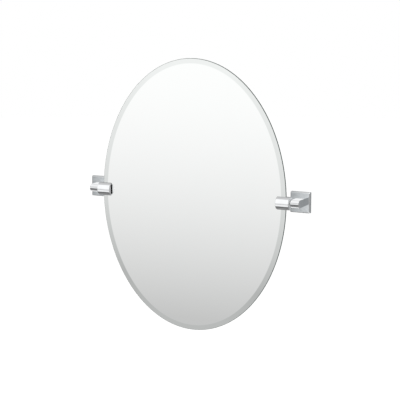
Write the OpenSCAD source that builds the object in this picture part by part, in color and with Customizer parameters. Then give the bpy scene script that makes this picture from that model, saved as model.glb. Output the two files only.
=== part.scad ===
// Pivot wall mirror: a frameless oval glass with a bevelled edge, gripped at half height by two
// slotted round clamps that turn on D-shaped arms, each standing on a square cover.
// Origin: on the wall, midway between the arms, at the height of the pivot. +X right, +Y into the
// wall, +Z up. All lengths are in millimetres.

/* [Glass] */
// Width of the oval
glass_w = 495.3; // [400:0.1:620]
// Height of the oval
glass_h = 673.1; // [520:0.1:820]
// Thickness of the glass
glass_t = 5; // [4:0.1:6]
// Width of the bevel, along the face
bevel_w = 13; // [8:0.1:20]
// Depth of the bevel at the edge
bevel_drop = 1; // [0.6:0.1:2.4]
// Small ground chamfer on both corners of the edge
arris = 0.4; // [0.2:0.05:0.6]
// Straight lengths that make up the oval
oval_steps = 180; // [120:4:240]
// Thickness of the safety film on the back
film_t = 0.3; // [0.2:0.05:0.5]
// Bare glass between the film and the edge
film_inset = 3; // [2:0.1:6]

/* [Clamps] */
// Diameter of the clamp barrel
clamp_d = 32.4; // [28:0.1:40]
// Length of glass held inside the clamp
clamp_grip = 23.1; // [18:0.1:30]
// Chamfer round both ends of the barrel
clamp_chamfer = 0.9; // [0.4:0.1:1.6]
// Thickness of the liner between glass and metal
pad_t = 0.8; // [0.5:0.1:1.2]
// Room between the edge of the glass and the liner
edge_room = 0.4; // [0.2:0.1:1]
// Metal left above and below the liner, in the mouth of the barrel
mouth_rim = 4.4; // [4:0.1:6]
// Thickness of the liner's lip in the mouth, on each side of the glass
lip_w = 4.5; // [3:0.1:5]
// Length of that lip along the glass
lip_len = 2; // [1.5:0.1:2.5]
// Thickness of the pressure plate
plate_t = 1.5; // [1:0.1:2]
// Diameter of a clamp screw
clamp_screw_d = 5; // [4:0.5:6]
// First clamp screw to the liner's lip
clamp_screw_inset = 4; // [3.5:0.1:5]
// Spacing of the clamp screws
clamp_screw_pitch = 10; // [8:0.1:11]
// Clamp screws lie this far below the back of the barrel
clamp_screw_recess = 1.2; // [0.6:0.1:2]

/* [Pivot] */
// Gap between clamp and arm
pivot_gap = 2.5; // [1.8:0.1:4]
// Diameter of the pin in its bush
pin_d = 6; // [5:0.1:7]
// Diameter of the collar on the pin
collar_d = 9; // [8.6:0.1:12]
// Length of pin screwed into the clamp
pin_thread_len = 8; // [6:0.1:10]
// Metal left under the threaded hole
pin_floor = 1.7; // [1.2:0.1:3]
// Room between the end of the pin and the bottom of its bore
pin_end_room = 1.1; // [0.5:0.1:2]
// Radial running clearance of the pin
running_fit = 0.05; // [0.02:0.01:0.1]
// Wall of the bush
bush_wall = 1.5; // [1:0.1:2]
// Metal left between the pin's bore and the outer side of the arm
arm_outer_wall = 6; // [4:0.1:7.5]
// Thickness of the friction washer
washer_t = 0.6; // [0.4:0.1:1]
// Diameter of the friction washer
washer_d = 12; // [10:0.1:15]
// Diameter of the tension screw
tension_screw_d = 4; // [3:0.5:5]
// Diameter of its dog point
dog_d = 2.4; // [1.6:0.1:2.6]
// Depth of the groove in the pin
groove_depth = 0.7; // [0.5:0.1:1]
// Tension screws lie this far inside the nose
tension_screw_recess = 0.8; // [0.5:0.1:1.5]

/* [Arms] */
// Distance of the pivot from the wall
pivot_reach = 36; // [32:0.1:60]
// Width of an arm
arm_w = 21.6; // [19:0.1:28]
// Height of an arm, which is also the diameter of its nose
arm_h = 19; // [17:0.1:24]
// Small chamfer round both sides of an arm
arm_chamfer = 0.7; // [0.3:0.1:1.2]
// Spacing of the two screws in the back of an arm
arm_screw_pitch = 11; // [10:0.1:12]
// Diameter of an arm screw
arm_screw_d = 5; // [4:0.5:5]
// Length of an arm screw in the arm
arm_screw_grip = 9; // [7:0.1:11]

/* [Square covers] */
// Side of the square cover
cover_side = 50.8; // [46:0.1:64]
// Depth of the cover
cover_t = 9.5; // [9:0.1:14]
// Wall of the cover
cover_wall = 2; // [1.5:0.1:2.4]
// Chamfer round the front of the cover
cover_chamfer = 2.3; // [1.2:0.1:2.7]
// Radius of the four upright corners
cover_corner = 1; // [0.5:0.1:2]
// Diameter of the grub screw under the cover
cover_screw_d = 4; // [3:0.5:4]

/* [Wall brackets] */
// Width of the bracket
bracket_w = 34; // [28:0.1:36]
// Thickness of the bracket
bracket_t = 2; // [1.5:0.1:2.2]
// Outer radius of the bends
bend_r = 2.6; // [2.3:0.1:3]
// Room above the upper flange, which carries the cover
hang_room = 0.2; // [0.1:0.05:0.4]
// Room between the lower flange and the cover
grub_room = 3.4; // [2.5:0.1:4]
// Spacing of the two wall screws
wall_hole_pitch = 25; // [24:0.1:26]
// Diameter of the holes for the wall screws
wall_hole_d = 4.8; // [4:0.1:5.5]

/* [Hidden] */
$fn = 96;

// Small clearances
seat_gap = 0.02;           // round the bush, which is pressed into the arm
push_gap = 0.05;           // round the liner's lip, which is pushed into the barrel
thread_gap = 0.05;         // round a screw in its tapped hole
flat_gap = 0.1;            // between flat faces that slide on each other
loose_gap = 0.3;           // round what passes through without guiding
through = 1;               // how far a cut runs past the face that it opens

// Places across the mirror, on the right side: the left side is mirrored
glass_edge_x = glass_w / 2;
clamp_in_x = glass_edge_x - clamp_grip;
slot_end_x = glass_edge_x + edge_room + pad_t;
clamp_out_x = slot_end_x + pin_thread_len + pin_floor;
arm_in_x = clamp_out_x + pivot_gap;
post_x = arm_in_x + arm_w / 2;

// Places out from the wall
axis_y = -pivot_reach;
glass_front_y = axis_y - glass_t / 2;
glass_back_y = axis_y + glass_t / 2;
film_back_y = glass_back_y + film_t;
pad_front_y = glass_front_y - pad_t;
pad_back_y = film_back_y + pad_t;
plate_back_y = pad_back_y + plate_t;

// Liner and pressure plate
liner_half_h = clamp_d / 2 - mouth_rim;
lip_front_y = glass_front_y - lip_w;
lip_back_y = film_back_y + lip_w;
lip_end_x = clamp_in_x + lip_len;
lip_recess = 0.2;

// Pivot
bore_depth = arm_w - arm_outer_wall;
bush_len = bore_depth - flat_gap;
bush_r = pin_d / 2 + running_fit + bush_wall;
bush_chamfer = 0.4;
journal_len = bore_depth - pin_end_room;
collar_len = pivot_gap - washer_t - 2 * flat_gap;
groove_r = pin_d / 2 - groove_depth;
groove_w = dog_d + 2 * loose_gap;
dog_tip_z = -(groove_r + loose_gap);
dog_root_z = -(bush_r + loose_gap);
pin_chamfer = 0.6;
collar_chamfer = 0.3;
tension_screw_bottom_z = -arm_h / 2 + tension_screw_recess;

// Cover and bracket
cover_front_y = -cover_t;
cover_inside = cover_side - 2 * cover_wall;
bracket_top_z = cover_inside / 2 - hang_room;
bracket_bottom_z = -cover_inside / 2 + grub_room;
flange_len = cover_t - cover_wall - loose_gap;
cover_screw_y = -cover_t / 2;
cover_screw_recess = 0.5;
dimple_depth = 0.4;

// Proportions of button heads and sockets, as shares of the screw's diameter
head_d_share = 1.75;
head_h_share = 0.5;
socket_share = 0.5;
socket_depth_share = 0.45;
point_share = 0.5;
end_chamfer_share = 0.1;
crown_share = 0.18;

// Colours
chrome_color = [0.78, 0.79, 0.81];
steel_color = [0.62, 0.63, 0.65];
nylon_color = [0.9, 0.9, 0.88];
rubber_color = [0.12, 0.12, 0.13];
glass_color = [0.9, 0.94, 0.93];
film_color = [0.55, 0.57, 0.58];

// ---- Shared shapes ----

// A mirrored copy for the left side, or the right side as it is
module side(s) {
    mirror([s < 0 ? 1 : 0, 0, 0]) children();
}

// Turns a shape drawn along +Z so that it runs along +X
module along_x() {
    rotate([0, 90, 0]) children();
}

// Turns a shape drawn along +Z so that it runs along +Y
module along_y() {
    rotate([-90, 0, 0]) children();
}

// Rectangle between two corners
module rect(low, high) {
    translate(low) square(high - low);
}

// Rectangle between two corners, with round corners
module round_rect(low, high, r) {
    rect([low[0] + r, low[1]], [high[0] - r, high[1]]);
    rect([low[0], low[1] + r], [high[0], high[1] - r]);
    for (x = [low[0] + r, high[0] - r])
        for (y = [low[1] + r, high[1] - r])
            translate([x, y]) circle(r);
}

// Rectangle about the origin, with its corners cut off
module chamfered_rect(w, h, c) {
    polygon([[w / 2, h / 2 - c], [w / 2 - c, h / 2], [c - w / 2, h / 2], [-w / 2, h / 2 - c],
             [-w / 2, c - h / 2], [c - w / 2, -h / 2], [w / 2 - c, -h / 2], [w / 2, c - h / 2]]);
}

// Cylinder from the origin along +Z, with a chamfer at each end
module chamfered_rod(r, len, c0, c1) {
    rotate_extrude()
        polygon([[0, 0], [r - c0, 0], [r, c0], [r, len - c1], [r - c1, len], [0, len]]);
}

// Grub screw from its point at the origin along +Z to its socket
module grub_screw(d, len) {
    difference() {
        chamfered_rod(d / 2, len, d * (1 - point_share) / 2, d * end_chamfer_share);
        translate([0, 0, len - d * socket_depth_share])
            cylinder(d = d * socket_share, h = d, $fn = 6);
    }
}

// Button-head screw: the head's bearing face lies at the origin and the shank runs along +Z
module button_screw(d, len) {
    head_h = d * head_h_share;
    difference() {
        union() {
            chamfered_rod(d / 2, len, 0, d * end_chamfer_share);
            mirror([0, 0, 1])
                chamfered_rod(d * head_d_share / 2, head_h, 0, d * head_d_share * crown_share);
        }
        translate([0, 0, -head_h - through])
            cylinder(d = d * socket_share, h = d * socket_depth_share + through, $fn = 6);
    }
}

// Point on the oval, moved inwards by an inset along its normal: [x, z]
function oval(t, inset) =
    let (a = glass_w / 2, b = glass_h / 2, n = [cos(t) / a, sin(t) / b])
    [a * cos(t), b * sin(t)] - inset * n / norm(n);

// All the points of one ring of the oval
function oval_ring(inset) =
    [for (i = [0 : oval_steps - 1]) oval(360 * i / oval_steps, inset)];

// Depth of the glass front at an inset from its edge
function bevel_y(inset) = glass_front_y + bevel_drop * (1 - inset / bevel_w);

// ---- Glass ----

// Oval glass: its rings run from the back face round the edge and over the bevel to the front face
module mirror_glass() {
    rings = [[arris, glass_back_y], [0, glass_back_y - arris], [0, bevel_y(0) + arris],
             [arris, bevel_y(arris)], [bevel_w, glass_front_y]];
    last = len(rings) - 1;
    points = [for (r = rings) for (p = oval_ring(r[0])) [p[0], r[1], p[1]]];
    back = [for (i = [0 : oval_steps - 1]) i];
    front = [for (i = [0 : oval_steps - 1]) last * oval_steps + oval_steps - 1 - i];
    walls = [for (k = [0 : last - 1])
                for (i = [0 : oval_steps - 1])
                    let (j = (i + 1) % oval_steps, a = k * oval_steps, b = a + oval_steps)
                    [a + i, b + i, b + j, a + j]];
    color(glass_color)
        polyhedron(points, concat([back, front], walls), convexity = 2);
}

// Thin safety film on the silvered back
module backing_film() {
    color(film_color)
        translate([0, film_back_y, 0])
            rotate([90, 0, 0])
                linear_extrude(film_t) polygon(oval_ring(film_inset));
}

// ---- Clamps: right side ----

// Turned barrel with a slot for the lined glass, a square recess for the liner's lip, a tapped
// hole for the pin and two for the screws
module clamp_shape() {
    barrel_len = clamp_out_x - clamp_in_x;
    difference() {
        translate([clamp_in_x, axis_y, 0])
            along_x() chamfered_rod(clamp_d / 2, barrel_len, clamp_chamfer, clamp_chamfer);
        translate([clamp_in_x - through, pad_front_y, -clamp_d])
            cube([slot_end_x - clamp_in_x + through, plate_back_y - pad_front_y, 2 * clamp_d]);
        translate([0, 0, -liner_half_h - push_gap])
            linear_extrude(2 * (liner_half_h + push_gap))
                rect([clamp_in_x - through, lip_front_y - push_gap], [lip_end_x, lip_back_y + push_gap]);
        translate([clamp_out_x - pin_thread_len - thread_gap, axis_y, 0])
            along_x() cylinder(r = pin_d / 2 + thread_gap, h = pin_thread_len + through);
        clamp_screw_places()
            translate([0, 0, -through]) cylinder(r = clamp_screw_d / 2 + thread_gap, h = clamp_d);
    }
}

// The two clamp screws' places: +Z of the children points back from the pressure plate
module clamp_screw_places() {
    for (k = [0, 1])
        translate([lip_end_x + clamp_screw_inset + k * clamp_screw_pitch, plate_back_y, 0])
            along_y() children();
}

// U-shaped liner that wraps the edge of the glass, with a thick lip on both sides in the mouth
module clamp_pad_shape() {
    face_x = clamp_in_x + lip_recess;
    translate([0, 0, -liner_half_h])
        linear_extrude(2 * liner_half_h)
            difference() {
                union() {
                    rect([face_x, pad_front_y], [slot_end_x, pad_back_y]);
                    rect([face_x, lip_front_y], [lip_end_x, lip_back_y]);
                }
                rect([clamp_in_x - through, glass_front_y], [slot_end_x - pad_t, film_back_y]);
            }
}

// Strip behind the liner, with its long edges rounded
module pressure_plate_shape() {
    translate([0, plate_back_y, 0])
        rotate([90, 0, 0])
            linear_extrude(plate_t)
                round_rect([lip_end_x + loose_gap, -liner_half_h],
                           [slot_end_x - loose_gap, liner_half_h], plate_t);
}

// Shouldered pin: thread in the clamp, collar in the gap, journal with a groove in the bush
module pivot_pin_shape() {
    r = pin_d / 2;
    rim = collar_d / 2;
    c = collar_chamfer;
    collar_end = pin_thread_len + collar_len;
    tip = collar_end + 2 * flat_gap + washer_t + journal_len;
    groove = post_x - clamp_out_x + pin_thread_len;
    translate([clamp_out_x - pin_thread_len, axis_y, 0])
        along_x()
            rotate_extrude()
                polygon([[0, 0], [r - pin_chamfer, 0], [r, pin_chamfer], [r, pin_thread_len],
                         [rim - c, pin_thread_len], [rim, pin_thread_len + c],
                         [rim, collar_end - c], [rim - c, collar_end], [r, collar_end],
                         [r, groove - groove_w / 2], [groove_r, groove - groove_w / 2],
                         [groove_r, groove + groove_w / 2], [r, groove + groove_w / 2],
                         [r, tip - pin_chamfer], [r - pin_chamfer, tip], [0, tip]]);
}

module left_clamp() {
    color(chrome_color) side(-1) clamp_shape();
}

module right_clamp() {
    color(chrome_color) side(1) clamp_shape();
}

module left_clamp_pad() {
    color(rubber_color) side(-1) clamp_pad_shape();
}

module right_clamp_pad() {
    color(rubber_color) side(1) clamp_pad_shape();
}

module left_pressure_plate() {
    color(steel_color) side(-1) pressure_plate_shape();
}

module right_pressure_plate() {
    color(steel_color) side(1) pressure_plate_shape();
}

module left_pivot_pin() {
    color(chrome_color) side(-1) pivot_pin_shape();
}

module right_pivot_pin() {
    color(chrome_color) side(1) pivot_pin_shape();
}

// Four grub screws in the backs of the clamps
module clamp_screws() {
    // The back of the barrel, where the far side of the screw's rim meets its curve
    rim_y = sqrt(pow(clamp_d / 2, 2) - pow(clamp_screw_d / 2, 2));
    screw_len = axis_y + rim_y - clamp_screw_recess - plate_back_y;
    color(steel_color)
        for (s = [-1, 1])
            side(s) clamp_screw_places() grub_screw(clamp_screw_d, screw_len);
}

// ---- Arms and pivots: right side ----

// D-shaped arm: a chamfered bar that ends in a half-round nose about the pivot axis
module arm_shape() {
    bar = pivot_reach - cover_t;
    half = arm_h / 2;
    c = arm_chamfer;
    difference() {
        union() {
            translate([arm_in_x, axis_y, 0]) along_x() chamfered_rod(half, arm_w, c, c);
            translate([post_x, cover_front_y, 0])
                rotate([90, 0, 0])
                    linear_extrude(bar) chamfered_rect(arm_w, arm_h, c);
        }
        translate([arm_in_x - through, axis_y, 0])
            along_x() cylinder(r = bush_r + seat_gap, h = bore_depth + through);
        translate([post_x, axis_y, -arm_h])
            cylinder(r = tension_screw_d / 2 + thread_gap, h = arm_h);
        arm_screw_places()
            translate([0, 0, -through])
                cylinder(r = arm_screw_d / 2 + thread_gap, h = arm_screw_grip + 2 * through);
    }
}

// The two arm screws' places, on the arm's back face: +Z of the children points into the arm
module arm_screw_places() {
    for (k = [-1, 1])
        translate([post_x + k * arm_screw_pitch / 2, cover_front_y, 0])
            rotate([90, 0, 0]) children();
}

// Plain sleeve with a cross hole for the tension screw's dog point
module pivot_bush_shape() {
    bore_r = pin_d / 2 + running_fit;
    difference() {
        translate([arm_in_x, axis_y, 0])
            along_x()
                difference() {
                    chamfered_rod(bush_r, bush_len, 0, bush_chamfer);
                    translate([0, 0, -through]) cylinder(r = bore_r, h = bush_len + 2 * through);
                }
        translate([post_x, axis_y, -2 * bush_r])
            cylinder(r = dog_d / 2 + loose_gap, h = 2 * bush_r);
    }
}

// Thin washer that lies against the arm
module friction_washer_shape() {
    translate([arm_in_x - flat_gap - washer_t, axis_y, 0])
        along_x()
            difference() {
                cylinder(d = washer_d, h = washer_t);
                translate([0, 0, -through])
                    cylinder(r = pin_d / 2 + loose_gap, h = washer_t + 2 * through);
            }
}

module left_arm() {
    color(chrome_color) side(-1) arm_shape();
}

module right_arm() {
    color(chrome_color) side(1) arm_shape();
}

module left_pivot_bush() {
    color(nylon_color) side(-1) pivot_bush_shape();
}

module right_pivot_bush() {
    color(nylon_color) side(1) pivot_bush_shape();
}

module left_friction_washer() {
    color(nylon_color) side(-1) friction_washer_shape();
}

module right_friction_washer() {
    color(nylon_color) side(1) friction_washer_shape();
}

// Four screws through the covers into the backs of the arms
module arm_screws() {
    color(steel_color)
        for (s = [-1, 1])
            side(s)
                arm_screw_places()
                    translate([0, 0, -cover_wall])
                        button_screw(arm_screw_d, cover_wall + arm_screw_grip);
}

// Two grub screws up into the noses, each ending in a dog point in the groove of its pin
module tension_screws() {
    r = tension_screw_d / 2;
    c = tension_screw_d * end_chamfer_share;
    color(steel_color)
        for (s = [-1, 1])
            side(s)
                translate([post_x, axis_y, 0])
                    difference() {
                        rotate_extrude()
                            polygon([[0, tension_screw_bottom_z], [r - c, tension_screw_bottom_z],
                                     [r, tension_screw_bottom_z + c], [r, dog_root_z - c],
                                     [r - c, dog_root_z], [dog_d / 2, dog_root_z],
                                     [dog_d / 2, dog_tip_z], [0, dog_tip_z]]);
                        translate([0, 0, tension_screw_bottom_z - through])
                            cylinder(d = tension_screw_d * socket_share,
                                     h = tension_screw_d * socket_depth_share + through, $fn = 6);
                    }
}

// ---- Covers and brackets: right side ----

// Outline of the cover from the side: chamfered at the front, on the wall at the back
module cover_profile() {
    half = cover_side / 2;
    c = cover_chamfer;
    polygon([[-half, 0], [-half, cover_t - c], [-half + c, cover_t],
             [half - c, cover_t], [half, cover_t - c], [half, 0]]);
}

// Hollow square cover with chamfered front edges, open at the wall
module escutcheon_shape() {
    half = cover_side / 2;
    inner = cover_inside / 2;
    translate([post_x, 0, 0])
        difference() {
            intersection() {
                translate([0, 0, -half])
                    linear_extrude(cover_side) mirror([0, 1, 0]) cover_profile();
                translate([-half, 0, 0])
                    rotate([0, 90, 0])
                        linear_extrude(cover_side) mirror([0, 1, 0]) cover_profile();
                rotate([90, 0, 0])
                    linear_extrude(cover_t) round_rect([-half, -half], [half, half], cover_corner);
            }
            translate([0, through, 0])
                rotate([90, 0, 0])
                    linear_extrude(cover_t - cover_wall + through)
                        round_rect([-inner, -inner], [inner, inner], cover_corner);
            for (k = [-1, 1])
                translate([k * arm_screw_pitch / 2, 0, 0])
                    rotate([90, 0, 0]) cylinder(r = arm_screw_d / 2 + loose_gap, h = 2 * cover_t);
            translate([0, cover_screw_y, -half - through])
                cylinder(r = cover_screw_d / 2 + thread_gap, h = cover_wall + 2 * through);
        }
}

// Bent steel bracket: a flat plate on the wall with an upper and a lower flange
module wall_bracket_shape() {
    inside_r = bend_r - bracket_t;
    difference() {
        translate([post_x - bracket_w / 2, 0, 0])
            rotate([90, 0, 90])
                linear_extrude(bracket_w)
                    intersection() {
                        difference() {
                            round_rect([-cover_t * 2, bracket_bottom_z], [0, bracket_top_z], bend_r);
                            round_rect([-cover_t * 2 + bracket_t, bracket_bottom_z + bracket_t],
                                       [-bracket_t, bracket_top_z - bracket_t], inside_r);
                        }
                        rect([-flange_len, bracket_bottom_z], [0, bracket_top_z]);
                    }
        for (k = [-1, 1])
            translate([post_x, -2 * bracket_t, k * wall_hole_pitch / 2])
                along_y() cylinder(d = wall_hole_d, h = 2 * bracket_t + through);
        translate([post_x, cover_screw_y, bracket_bottom_z - through])
            cylinder(r = cover_screw_d * point_share / 2 + dimple_depth + thread_gap,
                     h = dimple_depth + through);
    }
}

module left_escutcheon() {
    color(chrome_color) side(-1) escutcheon_shape();
}

module right_escutcheon() {
    color(chrome_color) side(1) escutcheon_shape();
}

module left_wall_bracket() {
    color(steel_color) side(-1) wall_bracket_shape();
}

module right_wall_bracket() {
    color(steel_color) side(1) wall_bracket_shape();
}

// Two grub screws up through the covers to the dimples in the lower flanges
module cover_grub_screws() {
    tip_z = bracket_bottom_z + dimple_depth;
    screw_len = tip_z + cover_side / 2 - cover_screw_recess;
    color(steel_color)
        for (s = [-1, 1])
            side(s)
                translate([post_x, cover_screw_y, tip_z])
                    mirror([0, 0, 1]) grub_screw(cover_screw_d, screw_len);
}

left_wall_bracket();
right_wall_bracket();
left_escutcheon();
right_escutcheon();
left_arm();
right_arm();
arm_screws();
cover_grub_screws();
left_pivot_bush();
right_pivot_bush();
tension_screws();
left_friction_washer();
right_friction_washer();
mirror_glass();
backing_film();
left_clamp();
right_clamp();
left_clamp_pad();
right_clamp_pad();
left_pressure_plate();
right_pressure_plate();
clamp_screws();
left_pivot_pin();
right_pivot_pin();
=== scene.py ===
"""Looks of a pivot wall mirror: an oval bevelled glass that tilts between two chrome arms.

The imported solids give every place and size. This script replaces the pieces that show most with
meshes whose edges are softened, gives every piece its finish, and sets up the small studio that
the chrome and the glass reflect. Lengths are in metres and angles in degrees, in the frame of the
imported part: +X to the right, +Y into the wall, +Z up, with the origin on the wall at the height
of the pivot.
"""

import logging
import math
from dataclasses import dataclass
from enum import Enum
from typing import Any, Callable, Mapping, Optional, Sequence, Union

import bmesh
import bpy
from mathutils import Matrix, Vector

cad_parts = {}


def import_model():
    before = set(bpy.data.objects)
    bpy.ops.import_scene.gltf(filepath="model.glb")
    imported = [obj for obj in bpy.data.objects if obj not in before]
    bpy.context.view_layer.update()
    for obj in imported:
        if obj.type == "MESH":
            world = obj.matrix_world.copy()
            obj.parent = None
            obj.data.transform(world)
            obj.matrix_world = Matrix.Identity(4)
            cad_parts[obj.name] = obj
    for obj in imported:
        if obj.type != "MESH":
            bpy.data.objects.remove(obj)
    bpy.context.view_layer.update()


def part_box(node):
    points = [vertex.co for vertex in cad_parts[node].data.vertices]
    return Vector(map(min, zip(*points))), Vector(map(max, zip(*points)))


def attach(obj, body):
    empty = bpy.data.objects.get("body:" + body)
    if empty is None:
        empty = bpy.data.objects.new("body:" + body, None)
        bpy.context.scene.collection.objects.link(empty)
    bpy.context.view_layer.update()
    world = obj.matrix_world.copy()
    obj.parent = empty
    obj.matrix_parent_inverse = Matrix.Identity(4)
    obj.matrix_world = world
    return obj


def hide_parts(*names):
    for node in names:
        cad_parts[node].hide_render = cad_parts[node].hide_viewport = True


LOG = logging.getLogger("pivot_mirror")
WELD = 1e-6  # points closer than this are one point
SLACK = 1e-5  # how far off its plane or its radius a point may be
PAST = 0.001  # how far a cutter runs past the face that it opens
SHARP = 1.0  # the angle in radians from which an edge is a corner
CREASE = math.radians(30.0)  # the angle from which a moulded edge is softened
HOLE_STEPS = 48  # faces round a drilled hole
PIN_STEPS = 64  # faces round a pin or a washer

Color = tuple[float, float, float]
Point = tuple[float, float, float]


class Side(Enum):
    """One end of the pivot axis. The value is the sign of its X."""

    LEFT = -1
    RIGHT = 1

    @property
    def word(self) -> str:
        """The word that starts the names of this side's nodes."""
        return self.name.lower()


class Body(Enum):
    """The two bodies that the tilt joint joins."""

    WALL = "wall_posts"
    MIRROR = "mirror"


class Slot(Enum):
    """The record's material slots that the new pieces follow."""

    CHROME = "polished_chrome"
    GLASS = "silvered_glass"
    NYLON = "nylon"
    RUBBER = "liner_rubber"
    FILM = "safety_film"


@dataclass(frozen=True)
class Span:
    """Where a node lies, with X measured outwards from the middle of the mirror."""

    inner: float
    outer: float
    front: float
    back: float
    bottom: float
    top: float

    @classmethod
    def of(cls, node: str, side: Side = Side.RIGHT) -> "Span":
        """Measures a node of the frame.

        Args:
            node: The node's name.
            side: The side on which X counts outwards.

        Returns:
            The node's span.
        """
        low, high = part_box(node)
        inner, outer = sorted((side.value * low.x, side.value * high.x))
        return cls(inner, outer, low.y, high.y, low.z, high.z)

    @property
    def radius(self) -> float:
        """Half the height, which is the radius of a piece turned about X."""
        return (self.top - self.bottom) / 2

    @property
    def mid_y(self) -> float:
        """The middle in Y."""
        return (self.front + self.back) / 2

    @property
    def mid_x(self) -> float:
        """The middle in X, outwards."""
        return (self.inner + self.outer) / 2


# ---- Meshes ----


class Shape:
    """A mesh in the making, shaped with bmesh operators."""

    def __init__(self) -> None:
        """Starts an empty mesh."""
        self.bm = bmesh.new()

    @classmethod
    def turned(cls, profile: Sequence[tuple[float, float]], axis_y: float, steps: int) -> "Shape":
        """Spins a profile a full turn about an axis along X.

        Args:
            profile: Points as (place along X, radius), from one end of the piece to the other.
            axis_y: The axis's place in Y.
            steps: Faces round the axis.

        Returns:
            The closed, turned shape.
        """
        shape = cls()
        points = [shape.bm.verts.new((x, 0.0, radius)) for x, radius in profile]
        lines = [shape.bm.edges.new(pair) for pair in zip(points, points[1:])]
        bmesh.ops.spin(
            shape.bm, geom=points + lines, cent=(0, 0, 0), axis=(1, 0, 0), dvec=(0, 0, 0),
            angle=math.tau, steps=steps, use_merge=True, use_duplicate=False,
        )
        bmesh.ops.translate(shape.bm, verts=shape.bm.verts, vec=(0, axis_y, 0))
        return shape.tidy()

    @classmethod
    def disc(cls, rx: float, rz: float, y: float, steps: int) -> "Shape":
        """Makes a flat oval that faces the front.

        Args:
            rx: Half the width.
            rz: Half the height.
            y: The oval's place in Y.
            steps: Straight lengths round it.

        Returns:
            One open face.
        """
        shape = cls()
        stand = Matrix.Translation((0, y, 0)) @ Matrix.Rotation(math.pi / 2, 4, "X")
        bmesh.ops.create_circle(shape.bm, cap_ends=True, segments=steps, radius=1.0, matrix=stand)
        bmesh.ops.scale(shape.bm, verts=shape.bm.verts, vec=(rx, 1, rz))
        return shape

    @classmethod
    def block(cls, low: Point, high: Point) -> "Shape":
        """Makes a box between two corners.

        Args:
            low: The lowest corner.
            high: The highest corner.

        Returns:
            The box.
        """
        shape = cls()
        size = Vector(high) - Vector(low)
        bmesh.ops.create_cube(shape.bm, size=1.0)
        bmesh.ops.scale(shape.bm, verts=shape.bm.verts, vec=size)
        bmesh.ops.translate(shape.bm, verts=shape.bm.verts, vec=Vector(low) + size / 2)
        return shape

    @classmethod
    def drill(cls, start: Point, along: Point, radius: float, sink: float = 0.0) -> "Shape":
        """Makes the cutter of a round hole, with a countersink at its mouth.

        Args:
            start: The middle of the hole's mouth.
            along: The way into the metal, as long as the hole is deep.
            radius: The hole's radius.
            sink: How much wider the countersink is, which is also its depth.

        Returns:
            The cutter.
        """
        depth = Vector(along).length
        profile = [
            (-PAST, 0.0), (-PAST, radius + sink + PAST), (sink, radius), (depth, radius), (depth, 0.0),
        ]
        if sink == 0.0:
            profile[1:3] = [(-PAST, radius)]
        shape = cls.turned(profile, 0.0, HOLE_STEPS)
        turn = Vector(along).to_track_quat("X", "Z").to_matrix().to_4x4()
        bmesh.ops.transform(shape.bm, matrix=Matrix.Translation(start) @ turn, verts=shape.bm.verts)
        return shape

    def tidy(self) -> "Shape":
        """Welds doubled points, then turns every face outwards.

        Returns:
            This shape.
        """
        bmesh.ops.remove_doubles(self.bm, verts=self.bm.verts, dist=WELD)
        bmesh.ops.recalc_face_normals(self.bm, faces=self.bm.faces)
        return self

    def push(self, faces: Sequence[bmesh.types.BMFace], vec: Point) -> list[bmesh.types.BMFace]:
        """Extrudes faces and moves them.

        Args:
            faces: The faces to extrude.
            vec: The move.

        Returns:
            The faces at the far end.
        """
        made = bmesh.ops.extrude_face_region(self.bm, geom=list(faces))["geom"]
        points = [g for g in made if isinstance(g, bmesh.types.BMVert)]
        bmesh.ops.translate(self.bm, verts=points, vec=vec)
        return [g for g in made if isinstance(g, bmesh.types.BMFace)]

    def soften(
        self, picks: Callable[[bmesh.types.BMEdge], bool], width: float, segments: int
    ) -> "Shape":
        """Bevels the edges that a test picks.

        Args:
            picks: Says whether an edge is bevelled.
            width: How far the bevel reaches from the edge.
            segments: Faces across the bevel: 1 gives a chamfer.

        Returns:
            This shape.
        """
        edges = [e for e in self.bm.edges if picks(e)]
        bmesh.ops.bevel(
            self.bm, geom=edges, offset=width, offset_type="OFFSET", segments=segments,
            profile=0.5, affect="EDGES", clamp_overlap=True, material=-1,
        )
        return self

    def soften_creases(self, width: float) -> "Shape":
        """Rounds every edge of a moulded piece by the same width."""
        return self.soften(lambda e: crease_of(e) > CREASE, width, 2)

    def cut(self, *cutters: "Shape") -> "Shape":
        """Cuts other shapes out of this one.

        Args:
            cutters: The shapes to take away, which are used up.

        Returns:
            This shape.
        """
        holder = self._holder("cut_body")
        helpers = [cutter._holder("cut_tool") for cutter in cutters]
        for helper in helpers:
            modifier = holder.modifiers.new("cut", "BOOLEAN")
            modifier.operation = "DIFFERENCE"
            modifier.solver = "EXACT"
            modifier.object = helper
        graph = bpy.context.evaluated_depsgraph_get()
        result = bpy.data.meshes.new_from_object(holder.evaluated_get(graph))
        self.bm = bmesh.new()
        self.bm.from_mesh(result)
        bpy.data.meshes.remove(result)
        for helper in [holder, *helpers]:
            mesh = helper.data
            bpy.data.objects.remove(helper)
            bpy.data.meshes.remove(mesh)
        return self.tidy()

    def _holder(self, name: str) -> bpy.types.Object:
        """Puts this mesh into a helper object and frees it.

        Args:
            name: The helper's name.

        Returns:
            The helper.
        """
        mesh = bpy.data.meshes.new(name)
        self.bm.to_mesh(mesh)
        self.bm.free()
        helper = bpy.data.objects.new(name, mesh)
        bpy.context.scene.collection.objects.link(helper)
        return helper

    def facing(self, side: Side) -> "Shape":
        """Mirrors a shape drawn for the right side where it goes on the left.

        Args:
            side: The side that the piece goes on.

        Returns:
            This shape.
        """
        if side is Side.LEFT:
            bmesh.ops.scale(self.bm, verts=self.bm.verts, vec=(-1, 1, 1))
            self.tidy()
        return self

    def paint(self, index: int, picks: Callable[[bmesh.types.BMFace], bool]) -> "Shape":
        """Gives the faces that a test picks a material slot.

        Args:
            index: The slot's number.
            picks: Says whether a face gets it.

        Returns:
            This shape.
        """
        for face in self.bm.faces:
            if picks(face):
                face.material_index = index
        return self

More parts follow.
